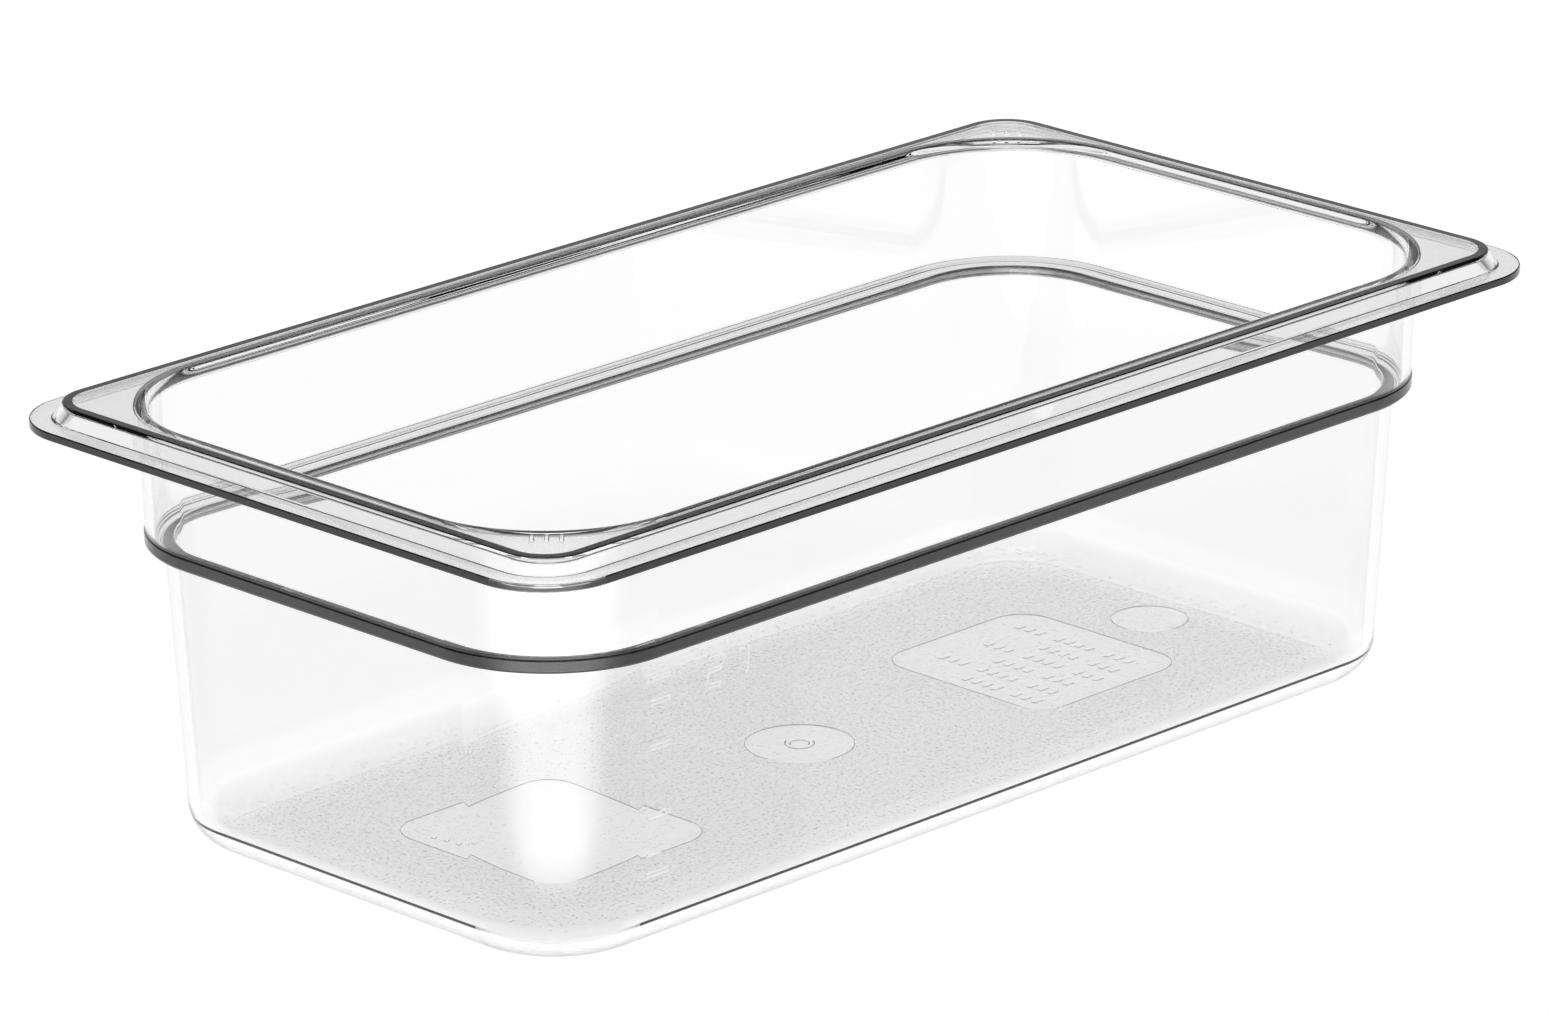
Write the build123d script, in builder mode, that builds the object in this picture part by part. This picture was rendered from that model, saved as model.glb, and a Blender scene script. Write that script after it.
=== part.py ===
from build123d import *
import os

os.makedirs("parts", exist_ok=True)

# Third-size food pan, 100 mm deep. The real pan is one clear injection moulding, so
# it is modelled as regions of that moulding that meet face to face on level planes.
# Origin at the middle of the footprint on the floor. X runs along the length.

LENGTH = 325.0          # outside of the flange
WIDTH = 176.0
HEIGHT = 103.5          # floor to the flat top of the rim
WALL = 2.5

# Every outline is a rounded rectangle, set in from the flange edge by an inset.
# Flange: the flat strip round the outside.
FLANGE_TOP = 100.0
FLANGE_THICKNESS = 1.9
FLANGE_BOTTOM = FLANGE_TOP - FLANGE_THICKNESS
FLANGE_RADIUS = 18.0
FLANGE_EDGE_ROUND = 0.35

# Skirt: the steep step from the flange up to the flat top of the rim.
SKIRT_FOOT_INSET = 5.0
SKIRT_FOOT_RADIUS = 13.4
SKIRT_THICKNESS = 2.2
PLATEAU_INSET = 7.4
PLATEAU_RADIUS = 11.0
PLATEAU_THICKNESS = 2.4
PLATEAU_EDGE_ROUND = 0.8

# Upper wall band, nearly upright, from the mouth down to the ledge.
MOUTH_INSET = 14.2
MOUTH_RADIUS = 33.5
MOUTH_ROUND = 1.9
LEDGE_TOP = 73.4
UPPER_FOOT_INSET = 13.1
UPPER_FOOT_RADIUS = 33.0

# Stacking shoulder: the ledge that the pan above rests on.
LEDGE_BOTTOM = 70.9
LEDGE_EDGE_ROUND = 1.0
LEDGE_LIP_ROUND = 0.9

# Lower wall, drawn in towards the base.
LOWER_TOP_INSET = 17.5
LOWER_TOP_RADIUS = 28.5
LOWER_FOOT_INSET = 21.2
LOWER_FOOT_RADIUS = 26.0

# Base with its rounded bottom edge.
BASE_TOP = 14.0
BASE_FLOOR = 2.6
BASE_OUTER_ROUND = 10.0
BASE_INNER_ROUND = 7.6

# Smooth pads moulded 0.3 mm into the frosted underside of the base.
PAD_DEPTH = 0.3
GATE_PAD_RADIUS = 12.8
GATE_RING_RADIUS = 3.6
GATE_RING_WIDTH = 0.9
ROUND_PAD_RADIUS = 9.3
ROUND_PAD_X = 119.0
SQUARE_PAD_LENGTH = 50.0
SQUARE_PAD_WIDTH = 54.0
SQUARE_PAD_RADIUS = 9.0
SQUARE_PAD_X = 78.0


def outline(inset, radius):
    return RectangleRounded(LENGTH - 2 * inset, WIDTH - 2 * inset, radius)


def between(z, z_low, at_low, z_high, at_high):
    return at_low + (at_high - at_low) * (z - z_low) / (z_high - z_low)


def upper_wall(z, depth_in):
    # Outline of the upper wall at height z, depth_in inside its outer surface.
    inset = between(z, LEDGE_TOP, UPPER_FOOT_INSET, HEIGHT, MOUTH_INSET - WALL)
    radius = between(z, LEDGE_TOP, UPPER_FOOT_RADIUS, HEIGHT, MOUTH_RADIUS + WALL)
    return outline(inset + depth_in, radius - depth_in)


def lower_wall(z, depth_in):
    # Outline of the lower wall at height z, depth_in inside its outer surface.
    inset = between(z, 0, LOWER_FOOT_INSET, LEDGE_BOTTOM, LOWER_TOP_INSET)
    radius = between(z, 0, LOWER_FOOT_RADIUS, LEDGE_BOTTOM, LOWER_TOP_RADIUS)
    return outline(inset + depth_in, radius - depth_in)


# Rim: flange, skirt, flat top with its four corner plates, and the rounded mouth.
hollow_top = HEIGHT - PLATEAU_THICKNESS
with BuildPart() as rim:
    with BuildSketch(Plane.XY.offset(FLANGE_BOTTOM)):
        outline(0, FLANGE_RADIUS)
    extrude(amount=FLANGE_THICKNESS)
    flange_edges = rim.edges().group_by(Axis.Z)[0] + rim.edges().group_by(Axis.Z)[-1]
    fillet(flange_edges, FLANGE_EDGE_ROUND)
    with BuildSketch(Plane.XY.offset(FLANGE_TOP)):
        outline(SKIRT_FOOT_INSET, SKIRT_FOOT_RADIUS)
    with BuildSketch(Plane.XY.offset(HEIGHT)):
        outline(PLATEAU_INSET, PLATEAU_RADIUS)
    loft(ruled=True)
    fillet(rim.edges().group_by(Axis.Z)[-1], PLATEAU_EDGE_ROUND)
    # Channel under the flat top, open downwards.
    with BuildSketch(Plane.XY.offset(FLANGE_BOTTOM)):
        outline(SKIRT_FOOT_INSET + SKIRT_THICKNESS, SKIRT_FOOT_RADIUS - SKIRT_THICKNESS)
    with BuildSketch(Plane.XY.offset(hollow_top)):
        outline(PLATEAU_INSET + SKIRT_THICKNESS, PLATEAU_RADIUS - SKIRT_THICKNESS)
    loft(ruled=True, mode=Mode.SUBTRACT)
    # Top of the wall, hanging inside the channel.
    with BuildSketch(Plane.XY.offset(FLANGE_BOTTOM)):
        upper_wall(FLANGE_BOTTOM, 0)
    with BuildSketch(Plane.XY.offset(hollow_top)):
        upper_wall(hollow_top, 0)
    loft(ruled=True)
    # Mouth.
    with BuildSketch(Plane.XY.offset(FLANGE_BOTTOM)):
        upper_wall(FLANGE_BOTTOM, WALL)
    with BuildSketch(Plane.XY.offset(HEIGHT)):
        upper_wall(HEIGHT, WALL)
    loft(ruled=True, mode=Mode.SUBTRACT)
    mouth_edges = rim.faces().sort_by(Axis.Z)[-1].inner_wires()[0].edges()
    fillet(mouth_edges, MOUTH_ROUND)
rim.part.label = "rim"

# Upper wall band.
with BuildPart() as upper_band:
    for depth_in in (0, WALL):
        with BuildSketch(Plane.XY.offset(LEDGE_TOP)):
            upper_wall(LEDGE_TOP, depth_in)
        with BuildSketch(Plane.XY.offset(FLANGE_BOTTOM)):
            upper_wall(FLANGE_BOTTOM, depth_in)
        loft(ruled=True, mode=Mode.SUBTRACT if depth_in else Mode.ADD)
upper_band.part.label = "upper_band"

# Stacking shoulder.
with BuildPart() as shoulder:
    with BuildSketch(Plane.XY.offset(LEDGE_BOTTOM)):
        outline(UPPER_FOOT_INSET, UPPER_FOOT_RADIUS)
    extrude(amount=LEDGE_TOP - LEDGE_BOTTOM)
    fillet(shoulder.edges().group_by(Axis.Z)[0], LEDGE_EDGE_ROUND)
    with BuildSketch(Plane.XY.offset(LEDGE_BOTTOM)):
        lower_wall(LEDGE_BOTTOM, WALL)
    with BuildSketch(Plane.XY.offset(LEDGE_TOP)):
        lower_wall(LEDGE_TOP, WALL)
    loft(ruled=True, mode=Mode.SUBTRACT)
    ledge_lip = shoulder.faces().sort_by(Axis.Z)[-1].inner_wires()[0].edges()
    fillet(ledge_lip, LEDGE_LIP_ROUND)
shoulder.part.label = "shoulder"

# Lower wall.
with BuildPart() as lower_band:
    for depth_in in (0, WALL):
        with BuildSketch(Plane.XY.offset(BASE_TOP)):
            lower_wall(BASE_TOP, depth_in)
        with BuildSketch(Plane.XY.offset(LEDGE_BOTTOM)):
            lower_wall(LEDGE_BOTTOM, depth_in)
        loft(ruled=True, mode=Mode.SUBTRACT if depth_in else Mode.ADD)
lower_band.part.label = "lower_band"

# Hollow of the base, with its rounded corner between floor and wall.
with BuildPart() as base_hollow:
    with BuildSketch(Plane.XY.offset(BASE_FLOOR)):
        lower_wall(BASE_FLOOR, WALL)
    with BuildSketch(Plane.XY.offset(BASE_TOP)):
        lower_wall(BASE_TOP, WALL)
    loft(ruled=True)
    fillet(base_hollow.edges().group_by(Axis.Z)[0], BASE_INNER_ROUND)

# Base: floor, rounded bottom edge and the foot of the wall.
with BuildPart() as base:
    with BuildSketch(Plane.XY):
        lower_wall(0, 0)
    with BuildSketch(Plane.XY.offset(BASE_TOP)):
        lower_wall(BASE_TOP, 0)
    loft(ruled=True)
    fillet(base.edges().group_by(Axis.Z)[0], BASE_OUTER_ROUND)
    add(base_hollow.part, mode=Mode.SUBTRACT)
    # Pads in the underside.
    with BuildSketch(Plane.XY):
        Circle(GATE_PAD_RADIUS)
        Circle(GATE_RING_RADIUS, mode=Mode.SUBTRACT)
        Circle(GATE_RING_RADIUS - GATE_RING_WIDTH)
        with Locations((ROUND_PAD_X, 0)):
            Circle(ROUND_PAD_RADIUS)
        with Locations((-SQUARE_PAD_X, 0), (SQUARE_PAD_X, 0)):
            RectangleRounded(SQUARE_PAD_LENGTH, SQUARE_PAD_WIDTH, SQUARE_PAD_RADIUS)
    extrude(amount=PAD_DEPTH, mode=Mode.SUBTRACT)
base.part.label = "base"

for region in (rim, upper_band, shoulder, lower_band, base):
    export_step(region.part, f"parts/{region.part.label}.step")
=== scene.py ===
import math

import bpy
from mathutils import Matrix, Vector, geometry


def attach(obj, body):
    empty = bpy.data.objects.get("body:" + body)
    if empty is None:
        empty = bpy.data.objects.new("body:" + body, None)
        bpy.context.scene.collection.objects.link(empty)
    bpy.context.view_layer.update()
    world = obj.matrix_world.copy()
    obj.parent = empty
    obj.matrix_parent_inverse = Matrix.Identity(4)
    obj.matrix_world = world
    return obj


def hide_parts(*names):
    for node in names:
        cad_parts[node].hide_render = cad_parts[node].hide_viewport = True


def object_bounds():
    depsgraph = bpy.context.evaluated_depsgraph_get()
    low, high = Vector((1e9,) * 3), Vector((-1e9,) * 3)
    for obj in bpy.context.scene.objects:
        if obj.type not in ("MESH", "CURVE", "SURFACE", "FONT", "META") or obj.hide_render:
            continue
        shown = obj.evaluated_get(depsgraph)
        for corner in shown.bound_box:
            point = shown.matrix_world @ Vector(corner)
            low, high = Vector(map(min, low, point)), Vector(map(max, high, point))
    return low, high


# Clear third-size food pan, one moulding in five regions. The pan's lengths are in
# millimetres, and MM turns them into metres. The floor, lights and camera are in metres.
MM = 0.001

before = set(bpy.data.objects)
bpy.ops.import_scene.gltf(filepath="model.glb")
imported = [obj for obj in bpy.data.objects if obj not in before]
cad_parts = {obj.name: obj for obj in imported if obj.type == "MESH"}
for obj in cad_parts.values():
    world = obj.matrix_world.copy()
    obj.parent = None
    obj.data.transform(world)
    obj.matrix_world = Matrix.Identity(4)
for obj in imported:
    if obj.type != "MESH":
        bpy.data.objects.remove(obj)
cad_low, cad_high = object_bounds()

# ---------------------------------------------------------------- dimensions
HALF_LENGTH, HALF_WIDTH, HEIGHT = (round(v / MM, 2) for v in cad_high)
ARC_STEPS = 30          # steps in each quarter round of an outline
FROST_FADE = 5.0        # height on the base's outer round where the frosting ends
PAINTED_FOOT_LINE = 7.2         # height of the thin line of painted shade on the base's round
FLAT_START = 9.6        # insets between which the rim's flat top has no painted shade; on either side of them it has
FLAT_END = 11.1
PAINTED_BAND_TOP = 74.9         # height where the band of painted shade on the shoulder ends
LIP_PAINTED_SHADE = 0.92        # how dark the painted shade on the start of the mouth's lip is
NEAR_CORNER_PAINTED_SHADE = 0.3      # how much of the flange edge's painted shade stays in the middle of the near corner, where the pool of light is mirrored
TOUCH = 1e-6            # lengths closer than this are the same

# The wall's cross-section, from the underside of the base up the outside, over the
# rim and down the inside to the floor. Each corner is (inset from the flange edge,
# height, radius of the outline there, rounding, steps in the rounding, painted shade of
# the rounding, painted shade of the run that follows it). Painted shade is darkness put
# into the plastic's colour, in place of the dark lines that light bent and piped in the
# plastic shows from outside: it is 1 where one looks in edge on.
SECTION = [
    (40.0, 0.0, 8.0, 0.0, 0, 0, 0),
    (21.2, 0.0, 26.0, 10.0, 18, 0, 0),
    (17.5, 70.9, 28.5, 1.0, 5, 0, 0),
    # The shoulder's outside, from its foot to the band's top, is a band of painted shade.
    (13.1, 70.9, 33.0, 1.0, 6, 1, 1),
    (13.1, 73.9, 33.0, 0.2, 2, 1, 1),
    (13.4, 74.2, 32.7, 0.2, 2, 1, 1),
    (13.35, PAINTED_BAND_TOP, 32.7, 0.0, 0, 0, 0),
    (11.8, 101.1, 35.6, 1.0, 5, 0, 0),
    (9.6, 101.1, 8.8, 0.8, 4, 0, 0),
    (7.2, 98.1, 11.2, 0.5, 3, 0, 0),
    # The flange's edge, all round, is painted shade.
    (0.0, 98.1, 18.0, 0.35, 3, 1, 1),
    (0.0, 100.0, 18.0, 0.35, 3, 1, 0),
    (5.0, 100.0, 13.4, 0.8, 4, 0, 0),
    # The outer edge of the rim's top, in to the flat, is a strip of painted shade.
    (7.4, HEIGHT, 11.0, 0.5, 5, 1, 1),
    (FLAT_START, HEIGHT, 8.8, 0.0, 0, 0, 0),
    # The run from here to the mouth's lip, and the lip's first steps, carry painted shade.
    (FLAT_END, HEIGHT, 36.6, 0.0, 0, 0, LIP_PAINTED_SHADE),
    (14.2, HEIGHT, 33.5, 1.9, 9, 0, 0),
    # The inner ledge's roundings carry some painted shade.
    (15.6, 73.4, 30.5, 1.1, 5, 0.4, 0),
    (20.0, 73.4, 26.1, 0.9, 5, 0.4, 0),
    (23.7, 2.6, 23.5, 7.6, 10, 0, 0),
    (45.0, 2.6, 8.0, 0.0, 0, 0, 0),
]

# Heights where one region of the moulding meets the next.
REGIONS = [
    ("base", 14.0),
    ("lower_band", 70.9),
    ("shoulder", 73.4),
    ("upper_band", 98.1),
    ("rim", HEIGHT),
]


# ---------------------------------------------------------------- section
def stations():
    """The section as a list of [inset, height, radius, d inset, d height, d radius, painted
    shade].
    """
    made = []
    count = len(SECTION)
    for k, (inset, z, radius, rounding, steps, round_painted_shade, painted_shade) in enumerate(SECTION):
        if k in (0, count - 1):
            continue
        here = Vector((inset, z))
        before = Vector(SECTION[k - 1][:2])
        after = Vector(SECTION[k + 1][:2])
        d_in = (here - before).normalized()
        d_out = (after - here).normalized()
        slope_in = (radius - SECTION[k - 1][2]) / (here - before).length
        slope_out = (SECTION[k + 1][2] - radius) / (after - here).length
        turn = math.atan2(d_in.x * d_out.y - d_in.y * d_out.x, d_in.dot(d_out))
        trim = rounding * math.tan(abs(turn) / 2)
        first = here - d_in * trim
        last = here + d_out * trim
        # Along a rounding the outline stays concentric with the steeper side.
        if abs(d_in.y) >= abs(d_out.y):
            base_inset, base_radius = first.x, radius - slope_in * trim
        else:
            base_inset, base_radius = last.x, radius + slope_out * trim
        side = Vector((-d_in.y, d_in.x)) * (1 if turn > 0 else -1)
        centre = first + side * rounding

        def radius_at(p):
            return base_radius - (p.x - base_inset)

        made.append([first.x, first.y, radius_at(first), d_in.x, d_in.y, slope_in, round_painted_shade])
        for n in range(1, steps):
            spin = Matrix.Rotation(turn * n / steps, 2)
            p = centre + spin @ (first - centre)
            d = spin @ d_in
            made.append([p.x, p.y, radius_at(p), d.x, d.y, -d.x, round_painted_shade])
        made.append([last.x, last.y, radius_at(last), d_out.x, d_out.y, slope_out, painted_shade])
    return made


def cut(section, height):
    """The section with one more station wherever it crosses that height."""
    made = [section[0]]
    for here in section[1:]:
        before = made[-1]
        if (before[1] - height) * (here[1] - height) < -1e-9:
            share = (height - before[1]) / (here[1] - before[1])
            between = [a + (b - a) * share for a, b in zip(before[:6], here[:6])]
            made.append(between + [before[6]])
        made.append(here)
    return made


def region_of(z):
    for name, top in REGIONS:
        if z < top - TOUCH or (name in ("shoulder", "rim") and z < top + TOUCH):
            return name
    return "rim"


# The side of each corner in x and y, and the angle at which its round starts.
CORNERS = [(1, 1, 0), (-1, 1, 90), (-1, -1, 180), (1, -1, 270)]


def loop(station):
    """Points and normals of one outline, anticlockwise seen from above, from +X."""
    inset, z, radius, d_inset, d_z, d_radius = station[:6]
    points = []
    normals = []
    for sx, sy, start in CORNERS:
        cx = sx * (HALF_LENGTH - inset - radius)
        cy = sy * (HALF_WIDTH - inset - radius)
        for n in range(ARC_STEPS + 1):
            u = math.radians(start + 90 * n / ARC_STEPS)
            c, s = math.cos(u), math.sin(u)
            outward = d_radius - (d_inset + d_radius) * (abs(c) + abs(s))
            points.append(Vector((cx + radius * c, cy + radius * s, z)))
            normals.append(Vector((d_z * c, d_z * s, -outward)).normalized())
    return points, normals


# ---------------------------------------------------------------- mesh building
class Build:
    """Faces with a normal for every corner, on vertices shared by position."""

    def __init__(self):
        self.points = []
        self.index = {}
        self.faces = []
        self.normals = []
        self.frost = []
        self.painted_shade = []

    def vertex(self, p):
        """The number of the vertex at that point, which is made if it is new."""
        key = (round(p.x, 4), round(p.y, 4), round(p.z, 4))
        if key not in self.index:
            self.index[key] = len(self.points)
            self.points.append(Vector(p))
        return self.index[key]

    def face(self, points, normals, frost=0.0, painted_shade=0.0):
        """Add a face, without the corners that fall on the one before."""
        ids = [self.vertex(p) for p in points]
        kept = [n for n in range(len(ids)) if ids[n] != ids[n - 1]]
        if len(kept) > 2:
            self.faces.append([ids[n] for n in kept])
            self.normals.append([normals[n] for n in kept])
            self.frost.append(frost)
            self.painted_shade.append(painted_shade)

    def object(self, name, material):
        mesh = bpy.data.meshes.new(name)
        mesh.from_pydata([p * MM for p in self.points], [], self.faces)
        mesh.shade_smooth()
        mesh.normals_split_custom_set([n for face in self.normals for n in face])
        mesh.materials.append(material)
        # The frosting and the painted shade of each face go into the mesh as face attributes.
        for key, values in (("frost", self.frost), ("painted_shade", self.painted_shade)):
            attribute = mesh.attributes.new(key, "FLOAT", "FACE")
            attribute.data.foreach_set("value", values)
        made = bpy.data.objects.new(name, mesh)
        bpy.context.scene.collection.objects.link(made)
        return made


def inside(p, polygon):
    """Whether a point is inside a polygon, by the edges that it has to its right."""
    hit = False
    for n, a in enumerate(polygon):
        b = polygon[n - 1]
        if (a.y > p.y) != (b.y > p.y):
            if p.x < (b.x - a.x) * (p.y - a.y) / (b.y - a.y) + a.x:
                hit = not hit
    return hit


def shrunk(polygon, amount):
    """A convex anticlockwise polygon moved inwards by amount."""
    made = []
    count = len(polygon)
    for n, p in enumerate(polygon):
        a = (p - polygon[n - 1]).normalized()
        b = (polygon[(n + 1) % count] - p).normalized()
        inward = Vector((-a.y - b.y, a.x + b.x)).normalized()
        reach = max(0.3, inward.dot(Vector((-a.y, a.x))))
        made.append(p + inward * (amount / reach))
    return made


def panel(build, to_3d, outlines, islands, level=0.0, frost=0.0):
    """A flat panel inside the first outline, outside the others, with raised or sunk islands.

    An island is (anticlockwise polygon, rise, width of its sloping side, its own islands).
    to_3d places a point of the panel's plane at a height above it.
    """
    rings = list(outlines) + [island[0] for island in islands]
    points = [p for ring in rings for p in ring]
    edges = []
    start = 0
    for ring in rings:
        size = len(ring)
        edges += [(start + n, start + (n + 1) % size) for n in range(size)]
        start += size
    got = geometry.delaunay_2d_cdt(points, edges, [], 1, 1e-5)
    up = (to_3d(Vector((0, 0)), 1.0) - to_3d(Vector((0, 0)), 0.0)).normalized()
    for face in got[2]:
        corners = [points[got[3][n][0]] for n in face]
        middle = sum(corners, Vector((0, 0))) / len(corners)
        if not inside(middle, rings[0]) or any(inside(middle, ring) for ring in rings[1:]):
            continue
        placed = [to_3d(p, level) for p in corners]
        if (placed[1] - placed[0]).cross(placed[2] - placed[0]).dot(up) < 0:
            placed.reverse()
        build.face(placed, [up] * len(placed), frost)
    for polygon, rise, slope, inner in islands:
        top = shrunk(polygon, slope)
        count = len(polygon)
        for n in range(count):
            m = (n + 1) % count
            low_a, low_b = to_3d(polygon[n], level), to_3d(polygon[m], level)
            top_b, top_a = to_3d(top[m], level + rise), to_3d(top[n], level + rise)
            flat = (low_b - low_a).cross(top_a - low_a).normalized()
            corners = [low_a, low_b, top_b, top_a]
            if flat.dot(up) < 0:
                corners.reverse()
                flat = -flat
            build.face(corners, [flat] * 4, frost)
        panel(build, to_3d, [top], inner, level + rise, frost * PAD_FROST)


def circle(x, y, radius, steps=40):
    angles = [2 * math.pi * n / steps for n in range(steps)]
    return [Vector((x + radius * math.cos(a), y + radius * math.sin(a))) for a in angles]


def bar(x, y, length, width, turn=0.0):
    """A rectangle centred on x, y and turned by that many degrees."""
    spin = Matrix.Rotation(math.radians(turn), 2)
    corners = [(-1, -1), (1, -1), (1, 1), (-1, 1)]
    middle = Vector((x, y))
    return [middle + spin @ Vector((a * length / 2, b * width / 2)) for a, b in corners]


def rounded(x, y, length, width, radius, steps=8):
    """A rectangle with round corners, anticlockwise."""
    made = []
    for sx, sy, start in CORNERS:
        for n in range(steps + 1):
            a = math.radians(start + 90 * n / steps)
            cx = x + sx * (length / 2 - radius)
            cy = y + sy * (width / 2 - radius)
            made.append(Vector((cx + radius * math.cos(a), cy + radius * math.sin(a))))
    return made


# ---------------------------------------------------------------- materials
# Transmission colours, of which each surface takes the square root.
CLEAR = (0.95, 0.95, 0.95, 1)
FROSTED = (1, 1, 1, 1)
GRAZING = (0.04, 0.04, 0.04, 1)             # at silhouettes
PAINTED_SHADE_COLOUR = (0.0008, 0.0008, 0.0008, 1)          # colour of the painted shade where it is 1
SPECKLE = (0.38, 0.38, 0.38, 1)             # in the spots of the frosting
PAD_FROST = 0.5                             # how much of the frosting a sunk pad keeps
FROST_ROUGHNESS = 0.22
GRAIN_SCALE, GRAIN_BUMP = 1100.0, 0.00001
GRAIN_SPOTS = (0.54, 0.68)                  # noise values where a spot starts and is full
HAZE_SCALE, HAZE_ROUGHNESS = 40.0, 0.02
HAZE_SPOTS = (0.55, 0.8)
SILHOUETTE_POWER = 8.0                      # higher is narrower


def plastic(name, frosted):
    """Clear plastic. The frosted one reads how frosted each face is from the mesh."""
    material = bpy.data.materials.new(name)
    material.use_nodes = True
    nodes = material.node_tree.nodes
    links = material.node_tree.links
    shader = nodes["Principled BSDF"]
    shader.inputs["IOR"].default_value = 1.585
    shader.inputs["Transmission Weight"].default_value = 1.0

    def add(kind, **settings):
        node = nodes.new(kind)
        for key, value in settings.items():
            setattr(node, key, value)
        return node

    def blend(factor, first, second):
        node = add("ShaderNodeMix", data_type="RGBA")
        links.new(factor, node.inputs["Factor"])
        for socket, value in ((node.inputs["A"], first), (node.inputs["B"], second)):
            if isinstance(value, tuple):
                socket.default_value = value
            else:
                links.new(value, socket)
        return node.outputs["Result"]

    # The wall's silhouettes are a little darker, because more plastic is looked through there.
    facing = add("ShaderNodeLayerWeight")
    steep = add("ShaderNodeMath", operation="POWER")
    steep.inputs[1].default_value = SILHOUETTE_POWER
    links.new(facing.outputs["Facing"], steep.inputs[0])
    colour = blend(steep.outputs[0], FROSTED if frosted else CLEAR, GRAZING)
    place = add("ShaderNodeTexCoord").outputs["Object"]
    if frosted:
        frost = add("ShaderNodeAttribute", attribute_name="frost").outputs["Fac"]
        grain = add("ShaderNodeTexNoise")
        grain.inputs["Scale"].default_value = GRAIN_SCALE
        grain.inputs["Detail"].default_value = 3.0
        links.new(place, grain.inputs["Vector"])
        spots = add("ShaderNodeMapRange")
        spots.inputs["From Min"].default_value = GRAIN_SPOTS[0]
        spots.inputs["From Max"].default_value = GRAIN_SPOTS[1]
        links.new(grain.outputs["Fac"], spots.inputs["Value"])
        amount = add("ShaderNodeMath", operation="MULTIPLY")
        links.new(spots.outputs["Result"], amount.inputs[0])
        links.new(frost, amount.inputs[1])
        colour = blend(amount.outputs[0], colour, SPECKLE)
        rough = add("ShaderNodeMapRange")
        rough.inputs["To Max"].default_value = FROST_ROUGHNESS
        links.new(frost, rough.inputs["Value"])
        links.new(rough.outputs["Result"], shader.inputs["Roughness"])
        bump = add("ShaderNodeBump")
        bump.inputs["Distance"].default_value = GRAIN_BUMP
        links.new(frost, bump.inputs["Strength"])
        links.new(grain.outputs["Fac"], bump.inputs["Height"])
        links.new(bump.outputs["Normal"], shader.inputs["Normal"])
    else:
        # Faint handling haze: the gloss is not the same everywhere.
        haze = add("ShaderNodeTexNoise")
        haze.inputs["Scale"].default_value = HAZE_SCALE
        links.new(place, haze.inputs["Vector"])
        rough = add("ShaderNodeMapRange")
        rough.inputs["From Min"].default_value = HAZE_SPOTS[0]
        rough.inputs["From Max"].default_value = HAZE_SPOTS[1]
        rough.inputs["To Min"].default_value = 0.0
        rough.inputs["To Max"].default_value = HAZE_ROUGHNESS
        links.new(haze.outputs["Fac"], rough.inputs["Value"])
        links.new(rough.outputs["Result"], shader.inputs["Roughness"])
    # Painted shade: faces seen from outside are painted dark by their painted shade, faces seen
    # from within the plastic are not.
    painted_shade_mask = add("ShaderNodeMath", operation="SUBTRACT", use_clamp=True)
    links.new(add("ShaderNodeAttribute", attribute_name="painted_shade").outputs["Fac"], painted_shade_mask.inputs[0])
    links.new(add("ShaderNodeNewGeometry").outputs["Backfacing"], painted_shade_mask.inputs[1])
    links.new(blend(painted_shade_mask.outputs[0], colour, PAINTED_SHADE_COLOUR), shader.inputs["Base Color"])
    return material


clear_plastic = plastic("clear_plastic", False)
frosted_plastic = plastic("frosted_plastic", True)

# ---------------------------------------------------------------- moulding
section = stations()
for name, top in REGIONS[:-1]:
    section = cut(section, top)
shells = {name: Build() for name, top in REGIONS}
loops = [loop(station) for station in section]
ring_size = len(loops[0][0])

# The last station before the rim's flat top, which is built as a panel with marks on it.
on_top = [n for n, s in enumerate(section) if s[1] > HEIGHT - TOUCH]
flat_top = max(n for n in on_top if section[n][0] <= FLAT_START + TOUCH)
# A thin line of painted shade goes round the base's round at that height.
painted_foot_line = min(range(flat_top), key=lambda n: abs(section[n][1] - PAINTED_FOOT_LINE))
section[painted_foot_line][6] = 1
# Painted shade on the first steps of the mouth's lip.
lip_start = min(n for n in range(flat_top + 1, len(section)) if section[n][0] > FLAT_END + TOUCH)
for station in section[lip_start : lip_start + 3]:
    station[6] = LIP_PAINTED_SHADE
# The fill marks are on the tallest run, on the straight side of the outline that faces -Y.
marked_run = max(range(flat_top), key=lambda n: section[n + 1][1] - section[n][1])
marked_side = 3 * (ARC_STEPS + 1) - 1
flange_edge = [n for n in range(flat_top) if section[n][0] < 0.5]
near_corner = range(2 * (ARC_STEPS + 1), marked_side)

for n in range(len(loops) - 1):
    if n == flat_top:
        continue
    (low_p, low_n), (top_p, top_n) = loops[n], loops[n + 1]
    shell = shells[region_of((section[n][1] + section[n + 1][1]) / 2)]
    frost = max(0.0, 1.0 - section[n][1] / FROST_FADE)
    for k in range(ring_size):
        m = (k + 1) % ring_size
        if n == marked_run and k == marked_side:
            continue
        # Painted shade: at the near corner the foot line's and the flange edge's painted shade
        # fade towards the middle of the arc, where the floor's pool of light is mirrored.
        painted_shade = section[n][6]
        off_middle = abs(2 * (k - near_corner.start) / ARC_STEPS - 1)
        if k in near_corner and n == painted_foot_line:
            painted_shade *= off_middle**4
        elif k in near_corner and n in flange_edge:
            painted_shade *= NEAR_CORNER_PAINTED_SHADE + (1 - NEAR_CORNER_PAINTED_SHADE) * off_middle**2
        shell.face(
            [low_p[k], low_p[m], top_p[m], top_p[k]],
            [low_n[k], low_n[m], top_n[m], top_n[k]],
            frost,
            painted_shade,
        )
shells["base"].face(loops[-1][0], [Vector((0, 0, 1))] * ring_size)


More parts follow.
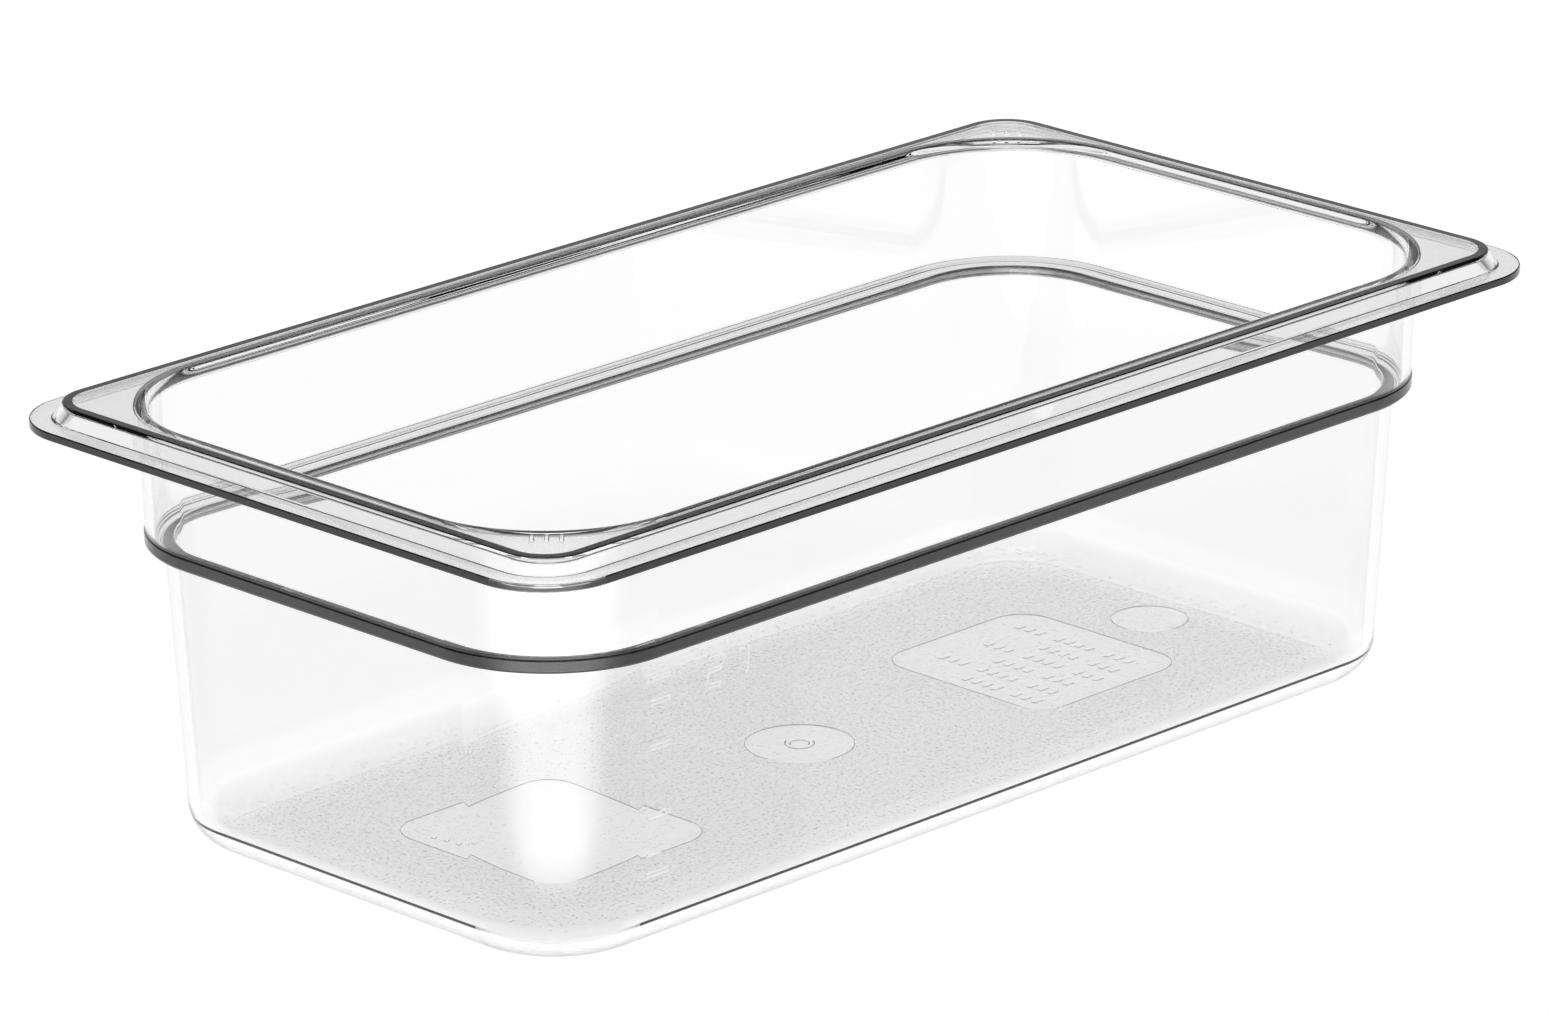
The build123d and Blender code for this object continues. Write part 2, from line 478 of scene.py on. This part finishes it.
# ---------------------------------------------------------------- rim's flat top
def on_plateau(p, rise):
    return Vector((p.x, p.y, HEIGHT + rise))


# Three bars stand on the near corner plate and three on the far one, across the diagonal.
SIZE_MARK_X, SIZE_MARK_Y = 143.4, 68.9
SIZE_MARK_PITCH = 3.2
SIZE_MARK_RISE, SIZE_MARK_SLOPE = 0.35, 0.2
DIAGONAL = 0.7071
size_marks = []
for side in (-1, 1):
    for n in (-1, 0, 1):
        along = n * SIZE_MARK_PITCH
        x = side * SIZE_MARK_X - side * along * DIAGONAL
        y = side * SIZE_MARK_Y + side * along * DIAGONAL
        size_marks.append((bar(x, y, 1.1, 4.4, -45), SIZE_MARK_RISE, SIZE_MARK_SLOPE, []))
flat_edges = [[p.xy for p in loops[n][0]] for n in (flat_top, flat_top + 1)]
panel(shells["rim"], on_plateau, flat_edges, size_marks)

# ---------------------------------------------------------------- fill marks on the long wall
low_a, low_b = (loops[marked_run][0][marked_side + n] for n in (0, 1))
top_a, top_b = (loops[marked_run + 1][0][marked_side + n] for n in (0, 1))
wall_up = Vector((0, top_a.y - low_a.y, top_a.z - low_a.z)).normalized()
wall_out = Vector((1, 0, 0)).cross(wall_up)


def on_wall(p, rise):
    """A point of the wall: p.x along the pan, p.y up the wall's slope from the run's foot."""
    return Vector((p.x, low_a.y, low_a.z)) + wall_up * p.y + wall_out * rise


def wall_height(z):
    """The distance up the wall's slope at which it reaches that height."""
    return (z - low_a.z) / wall_up.z


wall_outline = [Vector((p.x, (p - low_a).dot(wall_up))) for p in (low_a, low_b, top_b, top_a)]
MARK_RISE, MARK_SLOPE = 0.14, 0.35
TICK_START = -114.4
TICKS = [(18.5, 7.0), (23.6, 4.5), (32.3, 7.0), (48.4, 7.0), (59.0, 6.0), (64.5, 6.0)]
# Bars as (x, height, length, turn): five that stand for a numeral, and an upright one.
NUMERAL = [
    (-95.0, 65.4, 4.2, 0),
    (-92.6, 63.6, 2.2, 90),
    (-95.0, 61.8, 4.2, 0),
    (-97.4, 60.0, 2.2, 90),
    (-95.0, 58.2, 4.2, 0),
    (-85.0, 62.0, 6.6, 90),
]
bars = [bar(TICK_START + length / 2, wall_height(z), length, 1.3) for z, length in TICKS]
bars += [bar(x, wall_height(z), length, 1.2, turn) for x, z, length, turn in NUMERAL]
fill_marks = [(outline, MARK_RISE, MARK_SLOPE, []) for outline in bars]
panel(shells["lower_band"], on_wall, [wall_outline], fill_marks)


# ---------------------------------------------------------------- underside
def on_underside(p, rise):
    return Vector((p.x, p.y, -rise))


PAD_DEPTH, PAD_SLOPE = 0.3, 0.15
PAD_X, PAD_LENGTH, PAD_WIDTH, PAD_ROUND = 78, 50, 54, 9
RING_SLOPE = 0.3
ring_hollow = (circle(0, 0, 2.4, 24), -PAD_DEPTH, RING_SLOPE, [])
gate_ring = (circle(0, 0, 3.6, 24), PAD_DEPTH, RING_SLOPE, [ring_hollow])
# Six rows of plain bars, with a gap after every few of them.
ROW_START, ROW_PITCH, BAR_PITCH = 58.5, 7.0, 3.2
LINE_RISE, LINE_SLOPE = 0.28, 0.3
lines = []
for row in range(6):
    y = -20.0 + 1.5 * (row % 3)
    for n in range(12 if row % 2 else 9):
        if n % 5 != 3:
            outline = bar(ROW_START + ROW_PITCH * row, y + BAR_PITCH * n, 3.0, 1.7)
            lines.append((outline, LINE_RISE, LINE_SLOPE, []))
DOTS = [(-98.7, 15.0), (-98.0, 11.5), (-97.6, 8.0)]
dots = [(circle(x, y, 0.7, 12), 0.2, 0.2, []) for x, y in DOTS]
pads = [
    (circle(0, 0, 12.8), -PAD_DEPTH, PAD_SLOPE, [gate_ring]),
    (circle(119, 0, 9.3), -PAD_DEPTH, PAD_SLOPE, []),
    (rounded(-PAD_X, 0, PAD_LENGTH, PAD_WIDTH, PAD_ROUND), -PAD_DEPTH, PAD_SLOPE, dots),
    (rounded(PAD_X, 0, PAD_LENGTH, PAD_WIDTH, PAD_ROUND), -PAD_DEPTH, PAD_SLOPE, lines),
]
panel(shells["base"], on_underside, [[p.xy for p in loops[0][0]]], pads, 0.0, 1.0)

for name, shell in shells.items():
    material = frosted_plastic if name == "base" else clear_plastic
    made = shell.object(name + "_moulding", material)
    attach(made, "root")
    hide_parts(name)

# ---------------------------------------------------------------- stage
FLOOR_GAP = 0.0004                                          # keeps the floor off the base
FLOOR_GLOW = 0.9
POOL_GLOW = 2.4                                             # added in the pool's middle
POOL_POINT = (-0.128, -0.054, 0)                            # where the pool's wedge starts
POOL_HALF_ANGLES = (math.radians(62), math.radians(20))     # dark outside, bright inside
POOL_NEAR = (0.035, 0.06)                                   # distances where it fades in
POOL_FAR = (0.5, 0.3)                                       # and where it has faded out


def pale_floor():
    """A pale glowing floor, with a pool of light that the pan's near corner mirrors."""
    bpy.ops.mesh.primitive_plane_add(size=60)
    floor = bpy.context.object
    floor.name = "floor"
    floor.location.z = -FLOOR_GAP
    material = bpy.data.materials.new("floor")
    material.use_nodes = True
    nodes = material.node_tree.nodes
    links = material.node_tree.links
    shader = nodes["Principled BSDF"]
    shader.inputs["Base Color"].default_value = (0.8, 0.8, 0.8, 1)
    shader.inputs["Roughness"].default_value = 1.0
    shader.inputs["Specular IOR Level"].default_value = 0.0
    shader.inputs["Emission Color"].default_value = (1, 1, 1, 1)

    def math_node(operation, *values):
        node = nodes.new("ShaderNodeMath")
        node.operation = operation
        for socket, value in zip(node.inputs, values):
            if isinstance(value, float):
                socket.default_value = value
            else:
                links.new(value, socket)
        return node.outputs[0]

    def fade(value, limits, low, high):
        node = nodes.new("ShaderNodeMapRange")
        node.interpolation_type = "SMOOTHSTEP"
        node.inputs["From Min"].default_value = limits[0]
        node.inputs["From Max"].default_value = limits[1]
        node.inputs["To Min"].default_value = low
        node.inputs["To Max"].default_value = high
        links.new(value, node.inputs["Value"])
        return node.outputs["Result"]

    place = nodes.new("ShaderNodeMapping")
    place.vector_type = "TEXTURE"
    place.inputs["Location"].default_value = POOL_POINT
    place.inputs["Rotation"].default_value = (0, 0, math.radians(225))
    links.new(nodes.new("ShaderNodeTexCoord").outputs["Object"], place.inputs["Vector"])
    parts = nodes.new("ShaderNodeSeparateXYZ")
    links.new(place.outputs["Vector"], parts.inputs[0])
    away = parts.outputs["X"]
    angle = math_node("ABSOLUTE", math_node("ARCTAN2", parts.outputs["Y"], away))
    reach = math_node("MULTIPLY", fade(away, POOL_FAR, 0.0, 1.0), fade(away, POOL_NEAR, 0.0, 1.0))
    glow = math_node("MULTIPLY", fade(angle, POOL_HALF_ANGLES, 0.0, POOL_GLOW), reach)
    links.new(math_node("ADD", glow, FLOOR_GLOW), shader.inputs["Emission Strength"])
    floor.data.materials.append(material)
    return floor


def studio(stops):
    """A world whose brightness depends on the height of the direction only."""
    world = bpy.data.worlds.new("studio")
    bpy.context.scene.world = world
    world.use_nodes = True
    nodes = world.node_tree.nodes
    links = world.node_tree.links
    split = nodes.new("ShaderNodeSeparateXYZ")
    ramp = nodes.new("ShaderNodeValToRGB")
    links.new(nodes.new("ShaderNodeTexCoord").outputs["Generated"], split.inputs[0])
    links.new(split.outputs["Z"], ramp.inputs["Fac"])
    links.new(ramp.outputs["Color"], nodes["Background"].inputs["Color"])
    elements = ramp.color_ramp.elements
    elements[0].position, elements[1].position = stops[0][0], stops[-1][0]
    for position, _ in stops[1:-1]:
        elements.new(position)
    for element, (_, value) in zip(elements, stops):
        element.color = (value, value, value, 1)


def softbox(name, location, target, size, power):
    """A rectangular area light that faces its target."""
    light = bpy.data.lights.new(name, "AREA")
    light.shape = "RECTANGLE"
    light.size, light.size_y = size
    light.energy = power
    made = bpy.data.objects.new(name, light)
    made.location = location
    made.rotation_mode = "QUATERNION"
    made.rotation_quaternion = (Vector(location) - Vector(target)).to_track_quat("Z", "Y")
    bpy.context.scene.collection.objects.link(made)


floor = pale_floor()
# Brightness of the world by the direction's Z, from the horizon up.
SKY = [(0.0, 1.0), (0.1, 0.9), (0.25, 0.6), (0.34, 0.28), (0.5, 0.06), (1.0, 0.02)]
studio(SKY)
softbox("overhead", (0.2, 0.3, 1.6), (0, 0, 0.05), (0.6, 0.4), 1.5)

# ---------------------------------------------------------------- camera
AZIMUTH, ELEVATION, ROLL = (math.radians(v) for v in (-45.01, 18.86, -0.47))
DISTANCE = 2.11368
LENS, SENSOR = 214.39, 36                                   # in millimetres
AIM_HEIGHT, AIM_RIGHT, AIM_UP = 0.0535, -0.00426, 0.0030
level = Vector((math.cos(AZIMUTH), math.sin(AZIMUTH), 0))
flat = math.cos(ELEVATION)
back = Vector((math.sin(AZIMUTH) * flat, -math.cos(AZIMUTH) * flat, math.sin(ELEVATION)))
rise = back.cross(level)
right = level * math.cos(ROLL) + rise * math.sin(ROLL)
up = -level * math.sin(ROLL) + rise * math.cos(ROLL)
camera = bpy.data.cameras.new("camera")
camera.lens = LENS
camera.sensor_width = SENSOR
eye = bpy.data.objects.new("camera", camera)
target = Vector((0, 0, AIM_HEIGHT)) + right * AIM_RIGHT + up * AIM_UP
turn = Matrix((right, up, back)).transposed().to_4x4()
eye.matrix_world = Matrix.Translation(target + back * DISTANCE) @ turn
camera.clip_start, camera.clip_end = 0.05, 100
bpy.context.scene.collection.objects.link(eye)
bpy.context.scene.camera = eye

scene = bpy.context.scene
scene.view_settings.view_transform = "Standard"
scene.cycles.max_bounces = 32
scene.cycles.transmission_bounces = 32
scene.cycles.glossy_bounces = 12
